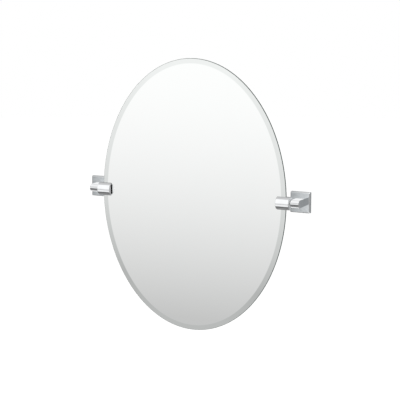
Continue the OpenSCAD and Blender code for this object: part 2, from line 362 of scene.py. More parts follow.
    def place(
        self, name: str, body: Body, slot: Slot, materials: Sequence[bpy.types.Material],
        stands_for: str, crease: float = 24.0,
    ) -> bpy.types.Object:
        """Makes the finished piece and hands it to the frame.

        Args:
            name: The piece's name.
            body: The body that it rides on.
            slot: The record's slot that its finish follows; it is not used.
            materials: Its materials, in the order of the faces' indices.
            stands_for: The node that it replaces.
            crease: Edges sharper than this many degrees stay sharp.

        Returns:
            The piece.
        """
        for face in self.bm.faces:
            face.smooth = True
        for edge in self.bm.edges:
            edge.smooth = crease_of(edge) <= math.radians(crease)
        mesh = bpy.data.meshes.new(name)
        self.bm.to_mesh(mesh)
        self.bm.free()
        for material in materials:
            mesh.materials.append(material)
        piece = bpy.data.objects.new(name, mesh)
        bpy.context.scene.collection.objects.link(piece)
        shading = piece.modifiers.new("even_shading", "WEIGHTED_NORMAL")
        shading.keep_sharp = True
        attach(piece, body.value)
        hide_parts(stands_for)
        LOG.info("%s rides on %s, %d faces", name, body.value, len(mesh.polygons))
        return piece


def crease_of(edge: bmesh.types.BMEdge) -> float:
    """The angle between an edge's two faces, or 0 where it hasn't two."""
    return edge.calc_face_angle(0.0)


def on_plane(edge: bmesh.types.BMEdge, axis: int, value: float) -> bool:
    """Says whether both ends of an edge lie on a plane.

    Args:
        edge: The edge.
        axis: 0, 1 or 2 for a plane across X, Y or Z.
        value: The plane's place.

    Returns:
        True if both ends are on the plane.
    """
    return all(abs(point.co[axis] - value) < SLACK for point in edge.verts)


def radius_of(point: Vector, axis_y: float) -> float:
    """A point's distance from the line along X at this Y."""
    return math.hypot(point.y - axis_y, point.z)


# ---- Node trees ----


class Value:
    """A node's output, with arithmetic that adds Math nodes to its tree."""

    def __init__(self, graph: "Graph", output: bpy.types.NodeSocket) -> None:
        """Wraps one output of a node."""
        self.graph = graph
        self.output = output

    def _math(self, operation: str, first: "Number", second: "Number") -> "Value":
        """Adds one Math node."""
        return self.graph.node("ShaderNodeMath", {"operation": operation}, {0: first, 1: second})

    def __add__(self, other: "Number") -> "Value":
        """This plus other."""
        return self._math("ADD", self, other)

    def __radd__(self, other: float) -> "Value":
        """A number plus this."""
        return self._math("ADD", other, self)

    def __sub__(self, other: "Number") -> "Value":
        """This minus other."""
        return self._math("SUBTRACT", self, other)

    def __rsub__(self, other: float) -> "Value":
        """A number minus this."""
        return self._math("SUBTRACT", other, self)

    def __mul__(self, other: "Number") -> "Value":
        """This times other."""
        return self._math("MULTIPLY", self, other)

    def __rmul__(self, other: float) -> "Value":
        """A number times this."""
        return self._math("MULTIPLY", other, self)

    def __truediv__(self, other: "Number") -> "Value":
        """This divided by other."""
        return self._math("DIVIDE", self, other)

    def __pow__(self, other: "Number") -> "Value":
        """This to a power."""
        return self._math("POWER", self, other)

    def __neg__(self) -> "Value":
        """This with its sign turned."""
        return self._math("MULTIPLY", self, -1.0)

    def smooth(self, low: float, high: float) -> "Value":
        """Rises smoothly from 0 at low to 1 at high.

        Args:
            low: Where the rise starts.
            high: Where it ends.

        Returns:
            The share, from 0 to 1.
        """
        return self._range(low, high, {"interpolation_type": "SMOOTHSTEP"})

    def ramp(self, low: float, high: float) -> "Value":
        """Rises in a straight line from 0 at low to 1 at high, and stays within 0 and 1.

        Args:
            low: Where the rise starts.
            high: Where it ends.

        Returns:
            The share, from 0 to 1.
        """
        return self._range(low, high, {"interpolation_type": "LINEAR", "clamp": True})

    def _range(self, low: float, high: float, settings: Mapping[str, Any]) -> "Value":
        """Maps low and high to 0 and 1 with one Map Range node."""
        inputs = {0: self, 1: low, 2: high, 3: 0.0, 4: 1.0}
        return self.graph.node("ShaderNodeMapRange", settings, inputs)


Number = Union[float, Value]


class Graph:
    """A node tree that is built by calls."""

    def __init__(self, tree: bpy.types.NodeTree) -> None:
        """Empties a tree."""
        self.tree = tree
        tree.nodes.clear()

    def node(
        self, kind: str, settings: Optional[Mapping[str, Any]] = None,
        inputs: Optional[Mapping[Union[int, str], Any]] = None, output: Union[int, str] = 0,
    ) -> Value:
        """Adds a node.

        Args:
            kind: The node's type.
            settings: Its properties, which are set first.
            inputs: Values or links of its sockets, by name or number.
            output: The output to return.

        Returns:
            That output.
        """
        node = self.tree.nodes.new(kind)
        for name, value in (settings or {}).items():
            setattr(node, name, value)
        for name, value in (inputs or {}).items():
            if isinstance(value, Value):
                self.tree.links.new(value.output, node.inputs[name])
            else:
                node.inputs[name].default_value = value
        return Value(self, node.outputs[output])

    def end(self, kind: str, shader: Value) -> None:
        """Adds the tree's output.

        Args:
            kind: The output node's type.
            shader: The shader of its surface.
        """
        self.tree.links.new(shader.output, self.tree.nodes.new(kind).inputs["Surface"])

    def place(self) -> Value:
        """The point on the piece, in the frame."""
        return self.node("ShaderNodeTexCoord", output="Object")

    def along(self, axis: str) -> Value:
        """How far along X, Y or Z that point is."""
        return self.node("ShaderNodeSeparateXYZ", {}, {0: self.place()}, output=axis)

    def noise(self, scale: float, detail: float = 3.0, stretch: Point = (1, 1, 1)) -> Value:
        """Noise on the piece.

        Args:
            scale: Waves in a metre.
            detail: How many finer waves are added.
            stretch: How much denser the waves are along each axis.

        Returns:
            The noise, about 0.5.
        """
        place = self.node("ShaderNodeMapping", {}, {"Vector": self.place(), "Scale": stretch})
        return self.node(
            "ShaderNodeTexNoise", {}, {"Vector": place, "Scale": scale, "Detail": detail}
        )

    def blend(self, share: Number, first: Union[Color, Value], second: Union[Color, Value]) -> Value:
        """Mixes two colours.

        Args:
            share: How much of the second shows.
            first: The colour at 0.
            second: The colour at 1.

        Returns:
            The mixed colour.
        """
        pair = [c if isinstance(c, Value) else (*c, 1.0) for c in (first, second)]
        return self.node(
            "ShaderNodeMix", {"data_type": "RGBA"}, {0: share, 6: pair[0], 7: pair[1]}, output=2
        )

    def bump(self, height: Value, depth: float, normal: Optional[Value] = None) -> Value:
        """A normal that is bent by a height.

        Args:
            height: The height, from 0 to 1.
            depth: What a height of 1 is.
            normal: The normal to bend, if not the surface's own.

        Returns:
            The bent normal.
        """
        inputs = {"Height": height, "Distance": depth, "Strength": 1.0}
        if normal is not None:
            inputs["Normal"] = normal
        return self.node("ShaderNodeBump", {}, inputs)

    def surface(self, **inputs: Any) -> Value:
        """Adds the surface shader.

        Args:
            **inputs: Its sockets' values, with _ for a space in a name.

        Returns:
            The shader.
        """
        named = {name.replace("_", " "): value for name, value in inputs.items()}
        return self.node("ShaderNodeBsdfPrincipled", {}, named)


class Finish:
    """What a piece is made of, as one material."""

    name: str

    def shade(self, graph: Graph) -> Value:
        """Builds the shader."""
        raise NotImplementedError

    def material(self) -> bpy.types.Material:
        """Makes the material, once for each finish.

        Returns:
            The material.
        """
        made = bpy.data.materials.get(self.name)
        if made is None:
            made = bpy.data.materials.new(self.name)
            made.use_nodes = True
            graph = Graph(made.node_tree)
            graph.end("ShaderNodeOutputMaterial", self.shade(graph))
        return made


@dataclass(frozen=True)
class Chrome(Finish):
    """Polished chrome plate with a faint haze of wiping marks and the ripple of a buffed surface.

    The leans are angles by which the shading normal is tipped down about X. They place the bands
    that the studio shows on the piece, and the shape itself doesn't change. Where a lighter tint and
    an X span are given, the tint is blended along X towards the lighter one: painted light and shade.
    """

    name: str
    tint: Color
    polish: float = 0.035  # roughness of the clean plate
    haze: float = 0.035  # how much rougher the marks are
    dulling: float = 0.08  # how much darker the marks are
    patch_waves: float = 70.0
    wipe_waves: float = 160.0
    ripple_waves: float = 90.0
    ripple: float = 2e-4  # depth of the ripple
    lean: float = 0.0  # on the whole piece
    top_lean: float = 0.0  # where it faces up
    top_from: float = 0.93
    top_to: float = 0.99
    under_lean: float = 0.0  # taken off where it faces down
    under_from: float = 0.8
    under_to: float = 0.98
    # painted light: a lighter tint that the plate's tint is blended into along X, and the X span over
    # which it rises
    drift_tint: Optional[Color] = None
    drift: tuple[float, float] = (0.0, 1.0)

    def shade(self, graph: Graph) -> Value:
        """Builds the shader.

        Args:
            graph: The material's node tree.

        Returns:
            The shader.
        """
        patches = graph.noise(self.patch_waves, 4.0).smooth(0.42, 0.72)
        wiping = graph.noise(self.wipe_waves, 3.0, (1.0, 1.0, 6.0)).smooth(0.5, 0.8)
        dull = (patches * 0.6 + wiping * 0.4).ramp(0.0, 1.0)
        clean: Union[Color, Value] = self.tint
        # painted light and shade: over the given X span the plate's tint is blended towards the lighter
        # tint
        if self.drift_tint is not None:
            clean = graph.blend(graph.along("X").ramp(*self.drift), self.tint, self.drift_tint)
        waves = graph.noise(self.ripple_waves, 1.0)
        return graph.surface(
            Base_Color=graph.blend(dull * self.dulling, clean, (0.0, 0.0, 0.0)),
            Metallic=1.0,
            Roughness=dull * self.haze + self.polish,
            Normal=graph.bump(waves, self.ripple, self._leaned(graph)),
        )

    def _leaned(self, graph: Graph) -> Value:
        """Leans the surface's normal about X.

        Args:
            graph: The material's node tree.

        Returns:
            The leaned normal.
        """
        own = graph.node("ShaderNodeNewGeometry", output="Normal")
        rise = graph.node("ShaderNodeSeparateXYZ", {}, {0: own}, output="Z")
        more = math.radians(self.top_lean - self.lean)
        angle = rise.smooth(self.top_from, self.top_to) * more + math.radians(self.lean)
        under = (-rise).smooth(self.under_from, self.under_to)
        angle = angle - under * math.radians(self.under_lean)
        return graph.node(
            "ShaderNodeVectorRotate", {"rotation_type": "X_AXIS"}, {"Vector": own, "Angle": angle}
        )


@dataclass(frozen=True)
class SilveredGlass(Finish):
    """The silvered face of the glass, seen through it, with barely visible wiping marks."""

    name: str = "silvered_face"
    tint: Color = (0.985, 0.995, 0.988)
    wiped_tint: Color = (0.978, 0.99, 0.983)
    streak: float = 0.006  # roughness of the marks
    streak_waves: float = 9.0

    def shade(self, graph: Graph) -> Value:
        """Builds the shader.

        Args:
            graph: The material's node tree.

        Returns:
            The shader.
        """
        streaks = graph.noise(self.streak_waves, 4.0, (1.0, 1.0, 0.35)).smooth(0.5, 0.8)
        return graph.surface(
            Base_Color=graph.blend(streaks, self.tint, self.wiped_tint),
            Metallic=1.0,
            Roughness=streaks * self.streak,
        )


@dataclass(frozen=True)
class BevelledGlass(Finish):
    """The polished bevel, with painted shade: darker than the silvered face, more so at its two sides.

    The silvering behind it stays flat, so its reflection turns by less than that of a mirror
    ground to the same slope.
    """

    name: str = "silvered_bevel"
    # painted shade: these tints are darker than the silvered face's, and the side tint darker still
    tint: Color = (0.87, 0.89, 0.88)
    painted_shade_side_tint: Color = (0.79, 0.81, 0.8)
    sides: tuple[float, float] = (0.08, 0.2)
    turn: float = 0.28  # the share of the slope by which the reflection turns
    polishing: float = 0.1  # the share of the tint that follows the polishing lines
    roughness: float = 0.004
    spread: float = 0.01  # how much rougher the lines are
    line_waves: float = 40.0
    face: Point = (0.0, -1.0, 0.0)

    def shade(self, graph: Graph) -> Value:
        """Builds the shader.

        Args:
            graph: The material's node tree.

        Returns:
            The shader.
        """
        settings = {"vector_type": "NORMAL", "convert_from": "OBJECT", "convert_to": "WORLD"}
        flat = graph.node("ShaderNodeVectorTransform", settings, {"Vector": self.face})
        own = graph.node("ShaderNodeNewGeometry", output="Normal")
        mixed = graph.node(
            "ShaderNodeMix", {"data_type": "VECTOR"}, {0: self.turn, 4: flat, 5: own}, output=1
        )
        normal = graph.node("ShaderNodeVectorMath", {"operation": "NORMALIZE"}, {0: mixed})
        lines = graph.noise(self.line_waves, 2.0).smooth(0.4, 0.7)
        across = graph.node("ShaderNodeMath", {"operation": "ABSOLUTE"}, {0: graph.along("X")})
        # painted shade: the tint darkens towards the oval's two sides, mixed with the polishing lines
        share = across.smooth(*self.sides) * (1.0 - self.polishing) + lines * self.polishing
        return graph.surface(
            Base_Color=graph.blend(share, self.tint, self.painted_shade_side_tint),
            Metallic=1.0,
            Roughness=lines * self.spread + self.roughness,
            Normal=normal,
        )


@dataclass(frozen=True)
class GlassEdge(Finish):
    """The ground and polished edge of float glass: grey-green, with fine grinding lines."""

    name: str = "glass_edge"
    tint: Color = (0.04, 0.06, 0.052)
    bright_tint: Color = (0.08, 0.11, 0.098)
    roughness: float = 0.22
    spread: float = 0.1
    grain: float = 900.0
    relief: float = 4e-5

    def shade(self, graph: Graph) -> Value:
        """Builds the shader.

        Args:
            graph: The material's node tree.

        Returns:
            The shader.
        """
        grinding = graph.noise(self.grain, 2.0, (0.2, 3.0, 0.2))
        return graph.surface(
            Base_Color=graph.blend(grinding, self.tint, self.bright_tint),
            Roughness=grinding * self.spread + self.roughness,
            Normal=graph.bump(grinding, self.relief),
        )


@dataclass(frozen=True)
class BackPaint(Finish):
    """Grey protective paint over the silvering, where the film leaves it bare."""

    name: str = "back_paint"
    tint: Color = (0.2, 0.22, 0.23)
    light_tint: Color = (0.25, 0.27, 0.28)
    roughness: float = 0.4
    spread: float = 0.2
    grain: float = 120.0
    relief: float = 5e-5

    def shade(self, graph: Graph) -> Value:
        """Builds the shader.

        Args:
            graph: The material's node tree.

        Returns:
            The shader.
        """
        cloud = graph.noise(self.grain, 4.0)
        return graph.surface(
            Base_Color=graph.blend(cloud, self.tint, self.light_tint),
            Roughness=cloud * self.spread + self.roughness,
            Normal=graph.bump(cloud, self.relief),
        )


@dataclass(frozen=True)
class ScrimFilm(Finish):
    """Safety film with a woven scrim that shows through the plastic as a fine grid."""

    name: str = "scrim_film"
    tint: Color = (0.47, 0.5, 0.52)
    thread_tint: Color = (0.58, 0.61, 0.63)
    pitch: float = 0.004
    roughness: float = 0.35
    spread: float = 0.25
    grain: float = 55.0
    relief: float = 6e-5

    def shade(self, graph: Graph) -> Value:
        """Builds the shader.

        Args:
            graph: The material's node tree.

        Returns:
            The shader.
        """
        threads = None
        for axis in "XZ":
            inputs = {0: graph.along(axis), 1: self.pitch / 2}
            wave = graph.node("ShaderNodeMath", {"operation": "PINGPONG"}, inputs)
            line = 1.0 - (wave / (self.pitch / 2)).smooth(0.0, 0.3)
            threads = line if threads is None else (threads + line).ramp(0.0, 1.3)
        mottle = graph.noise(self.grain, 4.0)
        return graph.surface(
            Base_Color=graph.blend(threads * 0.6 + mottle * 0.4, self.tint, self.thread_tint),
            Roughness=mottle * self.spread + self.roughness,
            Normal=graph.bump(threads * 0.7 + mottle * 0.3, self.relief),
        )


@dataclass(frozen=True)
class Steel(Finish):
    """Plated steel: zinc with a clouded grain, or screws with fine turning marks."""

    name: str
    tint: Color
    dark_tint: Color
    roughness: float
    grain: float
    stretch: Point = (1.0, 1.0, 1.0)
    relief: float = 3e-5
    spread: float = 0.25

    def shade(self, graph: Graph) -> Value:
        """Builds the shader.

        Args:
            graph: The material's node tree.

        Returns:
            The shader.
        """
        grain = graph.noise(self.grain, 5.0, self.stretch)
        cloud = graph.noise(self.grain / 12, 2.0)
        return graph.surface(
            Base_Color=graph.blend(cloud * 0.5 + grain * 0.5, self.dark_tint, self.tint),
            Metallic=1.0,
            Roughness=grain * self.spread + self.roughness,
            Normal=graph.bump(grain, self.relief),
        )


@dataclass(frozen=True)
class Moulded(Finish):
    """Moulded plastic or rubber with a fine skin texture."""

    name: str
    tint: Color
    worn_tint: Color
    roughness: float
    shine: float = 0.5
    grain: float = 1500.0
    relief: float = 4e-5
    spread: float = 0.15

    def shade(self, graph: Graph) -> Value:
        """Builds the shader.

        Args:
            graph: The material's node tree.

        Returns:
            The shader.
        """
        skin = graph.noise(self.grain, 3.0)
        cloud = graph.noise(self.grain / 10, 3.0)
        return graph.surface(
            Base_Color=graph.blend(cloud, self.tint, self.worn_tint),
            Specular_IOR_Level=self.shine,
            Roughness=skin * self.spread + self.roughness,
            Normal=graph.bump(skin, self.relief),
        )


BARREL_CHROME = Chrome(name="barrel_chrome", tint=(0.85, 0.86, 0.87), under_lean=44.0)
# painted highlight: the barrels' end faces get a lighter tint than the barrel's own chrome, so the ends
# read bright
RING_CHROME = Chrome(name="ring_chrome", tint=(0.97, 0.98, 0.99), polish=0.55)
ARM_CHROME = Chrome(name="arm_chrome", tint=(0.78, 0.79, 0.8), lean=21.5, top_lean=55.0)
# painted light and shade: over these X spans the covers' chrome runs from a darker tint to a lighter one,
# and the chamfers' from a mid tint to near white
COVER_ENDS = {Side.LEFT: (-0.297, -0.248), Side.RIGHT: (0.248, 0.297)}  # along X
COVER_FINISHES = {
    side: (
        Chrome(
            name=f"{side.word}_cover_chrome", tint=(0.43, 0.455, 0.467),
            drift_tint=(0.72, 0.75, 0.77), drift=ends,
        ),
        Chrome(
            name=f"{side.word}_chamfer_chrome", tint=(0.62, 0.64, 0.65),
            under_lean=22.5, under_from=0.3, under_to=0.6,
            drift_tint=(0.97, 0.98, 0.99), drift=ends,
        ),
    )
    for side, ends in COVER_ENDS.items()
}
FACE = SilveredGlass()
BEVEL = BevelledGlass()
# painted shade: the bevel line also darkens towards the oval's two sides
BEVEL_LINE = BevelledGlass(
    name="bevel_line", tint=(0.95, 0.97, 0.96), painted_shade_side_tint=(0.9, 0.92, 0.91), turn=0.19
)
EDGE = GlassEdge()
PAINT = BackPaint()
FILM = ScrimFilm()
ZINC = Steel("zinc_plate", (0.66, 0.67, 0.68), (0.5, 0.51, 0.53), 0.3, 700.0)
SCREW = Steel("screw_steel_turned", (0.6, 0.61, 0.62), (0.42, 0.43, 0.44), 0.2, 1200.0, (3.0, 1.0, 3.0))
NYLON = Moulded("natural_nylon", (0.8, 0.8, 0.76), (0.88, 0.88, 0.85), 0.35)
RUBBER = Moulded("black_liner", (0.006, 0.006, 0.0065), (0.01, 0.01, 0.0105), 0.85, 0.15)


# ---- The glass ----


@dataclass
class OvalMirror:
    """The bevelled oval glass and the safety film on its back."""

    steps: int = 512
    bevel_width: float = 0.013
    bevel_drop: float = 0.001
    arris: float = 0.0008
    back_arris: float = 0.0004
    line_width: float = 0.0011
    film_round: float = 0.00012
    upright: float = 0.1  # a face whose normal has less Y than this is part of the edge

    def glass(self) -> Shape:
        """Grinds the glass: a plate with small edge chamfers and a wide front bevel.

        Returns:
            The shape, with face, bevel, bevel line, edge and back in material slots 0 to 4.
        """
        span = Span.of("mirror_glass")
        front_edge = span.front + self.bevel_drop + self.arris
        back_edge = span.back - self.back_arris
        shape = Shape.disc(span.outer, span.radius, back_edge, self.steps)
        shape.push(shape.bm.faces[:], (0, front_edge - back_edge, 0))
        shape.tidy()
        ovals = [f for f in shape.bm.faces if len(f.verts) > 4]
        caps = sorted(ovals, key=lambda f: f.calc_center_median().y)
        slope = self.bevel_drop / self.bevel_width
        front = [
            (self.arris, self.arris, 3),
            (self.bevel_width - self.arris - self.line_width, None, 1),
            (self.line_width, None, 2),
        ]
        for width, rise, slot in front:
            height = width * slope if rise is None else rise
            self._step(shape, caps[0], width, height, slot)
        self._step(shape, caps[1], self.back_arris, self.back_arris, 3)
        caps[0].material_index = 0
        caps[1].material_index = 4
        return shape.paint(3, lambda f: abs(f.normal.y) < self.upright)

    def _step(self, shape: Shape, cap: bmesh.types.BMFace, width: float, rise: float, slot: int) -> None:
        """Insets a cap, raises it, and gives the band round it a material slot.

        Args:
            shape: The glass.
            cap: Its face on one side.
            width: How far the cap is inset.
            rise: How far it is raised.
            slot: The band's material slot.
        """
        made = bmesh.ops.inset_region(
            shape.bm, faces=[cap], thickness=width, depth=rise, use_even_offset=True, use_boundary=True
        )
        for face in made["faces"]:
            face.material_index = slot

    def film(self) -> Shape:
        """Cuts the safety film: a thin oval sheet with a softened rim.

        Returns:
            The shape.
        """
        span = Span.of("backing_film")
        shape = Shape.disc(span.outer, span.radius, span.front, self.steps)
        shape.push(shape.bm.faces[:], (0, span.back - span.front, 0))
        shape.tidy()
        return shape.soften(
            lambda e: on_plane(e, 1, span.back) and crease_of(e) > SHARP, self.film_round, 2
        )

    def build(self) -> None:
        """Places both pieces, and keeps them out of the metal's reflections."""
        glass = [finish.material() for finish in (FACE, BEVEL, BEVEL_LINE, EDGE, PAINT)]
        plate = self.glass().place("oval_glass", Body.MIRROR, Slot.GLASS, glass, "mirror_glass", 1.5)
        film = self.film().place(
            "safety_film_sheet", Body.MIRROR, Slot.FILM, [FILM.material()], "backing_film"
        )
        for piece in (plate, film):
            piece.visible_glossy = False


# ---- Clamps ----


@dataclass
class Clamp:
    """The turned, slotted barrel that grips the glass, and the shouldered pin that it turns on."""

    side: Side
    rim: float = 0.0013
    lip: float = 0.002
    lip_recess: float = 0.0002
    liner_t: float = 0.0008
    liner_soft: float = 0.00015
    push_gap: float = 0.00005
    thread_gap: float = 0.00005
    screw_pitch: float = 0.010
    thread_length: float = 0.008
    sink: float = 0.0005
    pin_radius: float = 0.003
    pin_ease: float = 0.0006
    groove_half: float = 0.0015
    groove_depth: float = 0.0007
    collar_gap: float = 0.0001
    collar_round: float = 0.0003
    facing_end: float = 0.99  # a face whose normal has more X than this is part of an end
    steps: int = 160

    def __post_init__(self) -> None:
        """Measures the nodes that the barrel fits."""
        self.span = Span.of(f"{self.side.word}_clamp", self.side)
        self.pad = Span.of(f"{self.side.word}_clamp_pad", self.side)
        self.plate = Span.of(f"{self.side.word}_pressure_plate", self.side)
        self.pin = Span.of(f"{self.side.word}_pivot_pin", self.side)
        self.glass = Span.of("mirror_glass")
        self.film_back = Span.of("backing_film").back
        self.screws = Span.of("clamp_screws")
        self.axis_y = self.span.mid_y
        self.lip_end = self.span.inner + self.lip - self.lip_recess

    def _is_rim(self, edge: bmesh.types.BMEdge, radius: float) -> bool:
        """Says whether an edge is a corner at the full radius of a turned piece."""
        return crease_of(edge) > SHARP and radius_of(edge.verts[0].co, self.axis_y) > radius - SLACK

    def barrel(self) -> Shape:
        """Turns the barrel, softens its rims, and cuts the slot and the screw holes.

        Returns:
            The shape.
        """
        span, pad = self.span, self.pad
        thread = self.pin_radius + self.thread_gap
        thread_end = span.outer - self.thread_length - self.thread_gap
        shape = Shape.turned(
            [(thread_end, 0.0), (thread_end, thread), (span.outer, thread), (span.outer, span.radius),
             (span.inner, span.radius), (span.inner, 0.0)],
            self.axis_y, self.steps,
        )
        shape.soften(lambda e: self._is_rim(e, span.radius), self.rim, 4)
        slot = Shape.block(
            (span.inner - PAST, self.glass.front - self.liner_t, span.bottom - PAST),
            (pad.outer, self.plate.back, span.top + PAST),
        )
        gap = self.push_gap
        mouth = Shape.block(
            (span.inner - PAST, pad.front - gap, pad.bottom - gap),
            (span.inner + self.lip, pad.back + gap, pad.top + gap),
        )
        shape.cut(slot, mouth, *self._screw_holes())
        return shape.paint(1, lambda f: abs(f.normal.x) > self.facing_end)

    def liner(self) -> Shape:
        """Moulds the U-shaped liner round the edge of the glass, with the lip behind the glass.

        Returns:
            The shape.
        """
        pad, glass = self.pad, self.glass
        shape = Shape.block(
            (pad.inner, glass.front - self.liner_t, pad.bottom), (pad.outer, pad.back, pad.top)
        )
        room = Shape.block(
            (pad.inner - PAST, glass.front, pad.bottom - PAST),
            (pad.outer - self.liner_t, self.film_back, pad.top + PAST),
        )
        step = Shape.block(
            (self.lip_end, self.film_back + self.liner_t, pad.bottom - PAST),
            (pad.outer + PAST, pad.back + PAST, pad.top + PAST),
        )
        return shape.cut(room, step).soften_creases(self.liner_soft)

    def liner_lip(self) -> Shape:
        """Moulds the lip in front of the glass, whose reflection the glass shows.

        Returns:
            The shape.
        """
        pad = self.pad
        shape = Shape.block(
            (pad.inner, pad.front, pad.bottom), (self.lip_end, self.glass.front - self.liner_t, pad.top)
        )
        return shape.soften_creases(self.liner_soft)

    def _screw_holes(self) -> list[Shape]:
        """Makes the cutters of the two tapped holes in the back.

        Returns:
            The cutters.
        """
        radius = self.screws.radius + self.thread_gap
        outermost = self.screws.outer - self.screws.radius
        depth = self.span.back - self.plate.back + PAST
        return [
            Shape.drill((x, self.span.back, 0.0), (0.0, -depth, 0.0), radius, self.sink)
            for x in (outermost, outermost - self.screw_pitch)
        ]

    def shouldered_pin(self) -> Shape:
        """Turns the pin: thread, collar, and a journal with a groove for the tension screw.

        Returns:
            The shape.
        """
        pin = self.pin
        arm = Span.of(f"{self.side.word}_arm", self.side)
        washer = Span.of(f"{self.side.word}_friction_washer", self.side)
        radius, ease = self.pin_radius, self.pin_ease
        collar_in, collar_out = self.span.outer, washer.inner - self.collar_gap
        groove_in, groove_out = arm.mid_x - self.groove_half, arm.mid_x + self.groove_half
        groove_r = radius - self.groove_depth
        shape = Shape.turned(
            [(pin.inner, 0.0), (pin.inner, radius - ease), (pin.inner + ease, radius),
             (collar_in, radius), (collar_in, pin.radius), (collar_out, pin.radius), (collar_out, radius),
             (groove_in, radius), (groove_in, groove_r), (groove_out, groove_r), (groove_out, radius),
             (pin.outer - ease, radius), (pin.outer, radius - ease), (pin.outer, 0.0)],
            self.axis_y, PIN_STEPS,
        )
        return shape.soften(lambda e: self._is_rim(e, pin.radius), self.collar_round, 3)

    def build(self) -> None:
        """Places the barrel, the pin and the liner's two parts, and dresses the pressure plate.

        The photograph's glass reflects the left clamp. On the right the cover would show the
        clamp as a dark mark, which the photograph hasn't, so there it is kept from reflections.
        """
        word = self.side.word
        chrome = [BARREL_CHROME.material(), RING_CHROME.material()]
        plain, rubber = [ARM_CHROME.material()], [RUBBER.material()]
        parts = (
            ("barrel", self.barrel(), Slot.CHROME, chrome, "clamp"),
            ("shouldered_pin", self.shouldered_pin(), Slot.CHROME, plain, "pivot_pin"),
            ("liner", self.liner(), Slot.RUBBER, rubber, "clamp_pad"),
            ("liner_lip", self.liner_lip(), Slot.RUBBER, rubber, "clamp_pad"),
        )
        pieces = [
            shape.facing(self.side).place(
                f"{word}_{name}", Body.MIRROR, slot, materials, f"{word}_{stands_for}"
            )
            for name, shape, slot, materials, stands_for in parts
        ]
        for piece in (*pieces, dress(f"{word}_pressure_plate", ZINC)):
            piece.visible_glossy = self.side is Side.LEFT


# ---- Arms ----


@dataclass
class Arm:
    """The D-shaped arm with its half-round nose, its bush and the friction washer."""

    side: Side
    edge: float = 0.0007
    seat_gap: float = 0.00002
    thread_gap: float = 0.00005
    screw_pitch: float = 0.011
    screw_radius: float = 0.0025
    screw_depth: float = 0.010
    tension_radius: float = 0.002
    bush_room: float = 0.0001
    washer_bore: float = 0.0033
    washer_round: float = 0.00012
    sink: float = 0.0004
    steps: int = 96

    def __post_init__(self) -> None:
        """Measures the nodes that the arm fits."""
        self.span = Span.of(f"{self.side.word}_arm", self.side)
        self.bush = Span.of(f"{self.side.word}_pivot_bush", self.side)
        self.washer = Span.of(f"{self.side.word}_friction_washer", self.side)
        self.axis_y = self.span.front + self.span.radius

    def casting(self) -> Shape:
        """Draws the D profile, extrudes it across the arm, softens it and drills it.

        Returns:
            The shape.
        """
        span = self.span
        shape = Shape()
        stand = Matrix.Translation((span.inner, self.axis_y, 0)) @ Matrix.Rotation(math.pi / 2, 4, "Y")
        bmesh.ops.create_circle(
            shape.bm, cap_ends=True, segments=self.steps, radius=span.radius, matrix=stand
        )
        bmesh.ops.bisect_plane(
            shape.bm, geom=[*shape.bm.verts, *shape.bm.edges, *shape.bm.faces], dist=WELD,
            plane_co=(0, self.axis_y, 0), plane_no=(0, 1, 0), clear_outer=True,
        )
        straight = [e for e in shape.bm.edges if on_plane(e, 1, self.axis_y)]
        made = bmesh.ops.extrude_edge_only(shape.bm, edges=straight)["geom"]
        ends = [g for g in made if isinstance(g, bmesh.types.BMVert)]
        bmesh.ops.translate(shape.bm, verts=ends, vec=(0, span.back - self.axis_y, 0))
        joined = bmesh.ops.dissolve_faces(shape.bm, faces=shape.bm.faces[:], use_verts=False)
        shape.push(joined["region"], (span.outer - span.inner, 0, 0))
        shape.tidy()
        shape.soften(self._is_rim, self.edge, 3)
        return shape.cut(*self._bores())

    def _is_rim(self, edge: bmesh.types.BMEdge) -> bool:
        """Says whether an edge runs round a side of the arm, off the cover.

        Args:
            edge: The edge.

        Returns:
            True if it does.
        """
        on_side = on_plane(edge, 0, self.span.inner) or on_plane(edge, 0, self.span.outer)
        return on_side and crease_of(edge) > SHARP and not on_plane(edge, 1, self.span.back)

    def _bores(self) -> list[Shape]:
        """Makes the cutters of the bush's bore, the tension screw's hole and the two screw holes.

        Returns:
            The cutters.
        """
        span = self.span
        bush = Shape.drill(
            (span.inner, self.axis_y, 0.0),
            (self.bush.outer - span.inner + self.bush_room, 0.0, 0.0),
            self.bush.radius + self.seat_gap, self.sink,
        )
        tension = Shape.drill(
            (span.mid_x, self.axis_y, span.bottom), (0.0, 0.0, span.radius),
            self.tension_radius + self.thread_gap, self.sink,
        )
        backs = [
            Shape.drill(
                (span.mid_x + sign * self.screw_pitch / 2, span.back, 0.0), (0.0, -self.screw_depth, 0.0),
                self.screw_radius + self.thread_gap,
            )
            for sign in (-1, 1)
        ]
        return [bush, tension, *backs]

    def friction_washer(self) -> Shape:
        """Turns the thin washer with softened rims.

        Returns:
            The shape.
        """
        washer, bore = self.washer, self.washer_bore
        shape = Shape.turned(
            [(washer.inner, bore), (washer.outer, bore), (washer.outer, washer.radius),
             (washer.inner, washer.radius), (washer.inner, bore)],
            self.axis_y, PIN_STEPS,
        )
        return shape.soften_creases(self.washer_round)

    def build(self) -> None:
        """Places the arm and the washer, and dresses the bush."""
        word = self.side.word
        casting = self.casting().facing(self.side)
        casting.place(f"{word}_d_arm", Body.WALL, Slot.CHROME, [ARM_CHROME.material()], f"{word}_arm")
        washer = self.friction_washer().facing(self.side)
        washer.place(
            f"{word}_thin_washer", Body.WALL, Slot.NYLON, [NYLON.material()], f"{word}_friction_washer"
        )
        dress(f"{word}_pivot_bush", NYLON)


# ---- Covers ----


